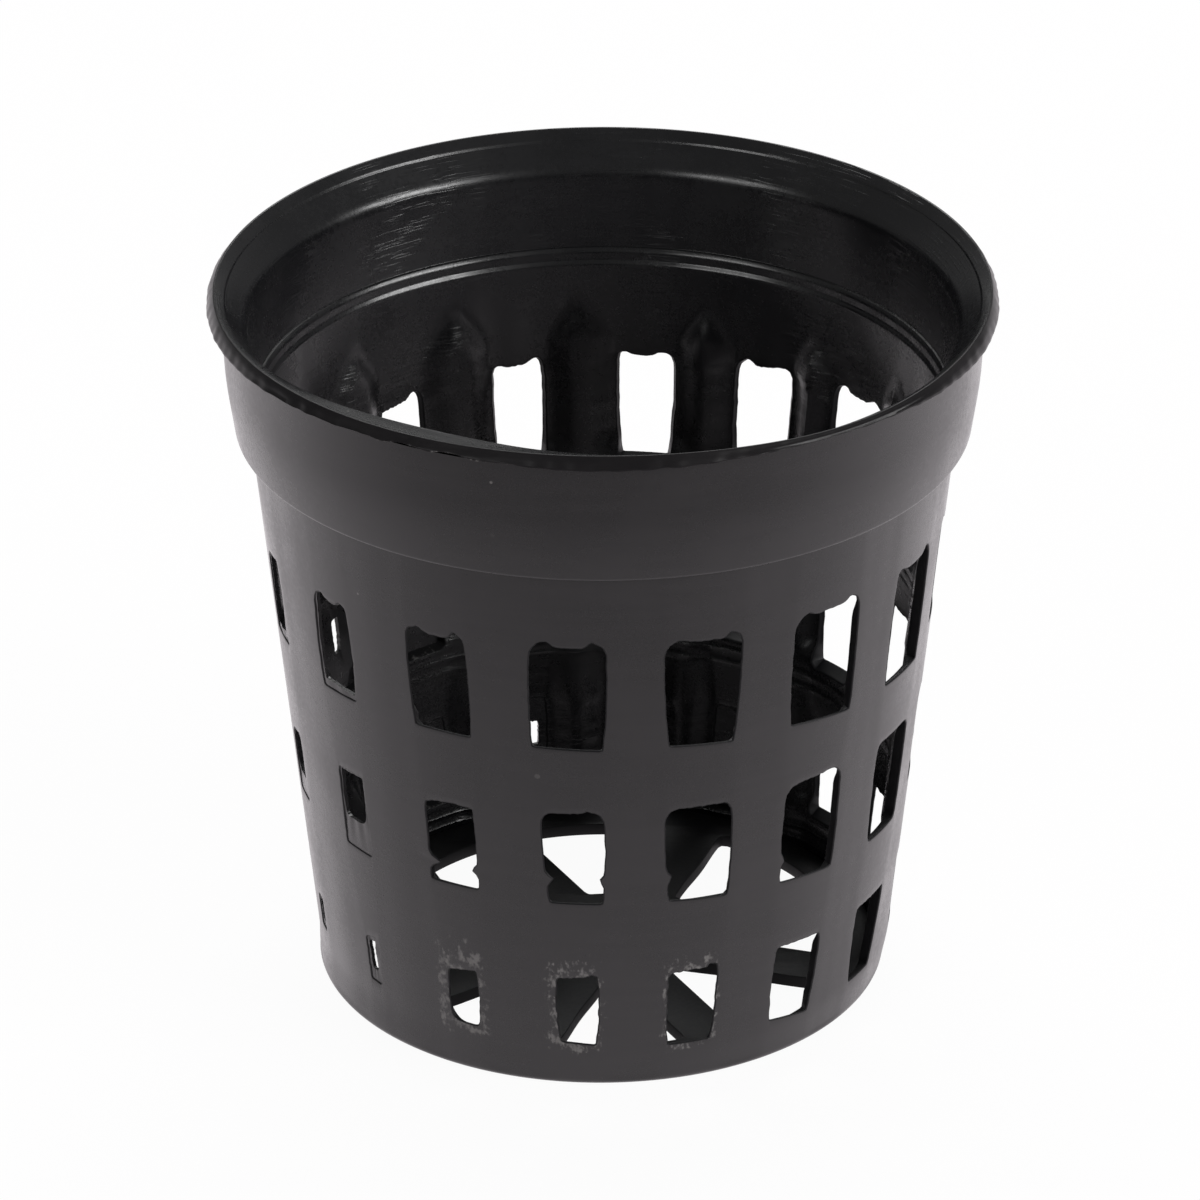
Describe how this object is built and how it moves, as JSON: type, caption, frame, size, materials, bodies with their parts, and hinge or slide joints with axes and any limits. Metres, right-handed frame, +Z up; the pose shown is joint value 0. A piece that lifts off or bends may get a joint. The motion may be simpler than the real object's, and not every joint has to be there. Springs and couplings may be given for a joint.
{
  "type": "aquarium plant basket",
  "caption": "Small round tapered net basket of thin black plastic, with a flanged lip, a stepped collar, rows of open windows in its wall and an open floor grille, for rooting a water plant.",
  "frame": {"origin": "middle of the underside, on the surface that the basket stands on", "axes": "+Z up along the basket's axis, a column of windows facing -Y"},
  "size_m": [0.052, 0.052, 0.0496],
  "materials": {
    "black_plastic": "satin moulded black polypropylene"
  },
  "bodies": {
    "root": {"rim_lip": "black_plastic", "collar": "black_plastic", "upright_01": "black_plastic", "upright_02": "black_plastic", "upright_03": "black_plastic", "upright_04": "black_plastic", "upright_05": "black_plastic", "upright_06": "black_plastic", "upright_07": "black_plastic", "upright_08": "black_plastic", "upright_09": "black_plastic", "upright_10": "black_plastic", "upright_11": "black_plastic", "upright_12": "black_plastic", "upright_13": "black_plastic", "upright_14": "black_plastic", "upright_15": "black_plastic", "upright_16": "black_plastic", "crossbar_upper_01": "black_plastic", "crossbar_upper_02": "black_plastic", "crossbar_upper_03": "black_plastic", "crossbar_upper_04": "black_plastic", "crossbar_upper_05": "black_plastic", "crossbar_upper_06": "black_plastic", "crossbar_upper_07": "black_plastic", "crossbar_upper_08": "black_plastic", "crossbar_upper_09": "black_plastic", "crossbar_upper_10": "black_plastic", "crossbar_upper_11": "black_plastic", "crossbar_upper_12": "black_plastic", "crossbar_upper_13": "black_plastic", "crossbar_upper_14": "black_plastic", "crossbar_upper_15": "black_plastic", "crossbar_upper_16": "black_plastic", "crossbar_lower_01": "black_plastic", "crossbar_lower_02": "black_plastic", "crossbar_lower_03": "black_plastic", "crossbar_lower_04": "black_plastic", "crossbar_lower_05": "black_plastic", "crossbar_lower_06": "black_plastic", "crossbar_lower_07": "black_plastic", "crossbar_lower_08": "black_plastic", "crossbar_lower_09": "black_plastic", "crossbar_lower_10": "black_plastic", "crossbar_lower_11": "black_plastic", "crossbar_lower_12": "black_plastic", "crossbar_lower_13": "black_plastic", "crossbar_lower_14": "black_plastic", "crossbar_lower_15": "black_plastic", "crossbar_lower_16": "black_plastic", "base_ring": "black_plastic", "floor_hub": "black_plastic", "spoke_1": "black_plastic", "spoke_2": "black_plastic", "spoke_3": "black_plastic", "spoke_4": "black_plastic", "spoke_5": "black_plastic", "spoke_6": "black_plastic", "spoke_7": "black_plastic", "spoke_8": "black_plastic"}
  },
  "joints": []
}
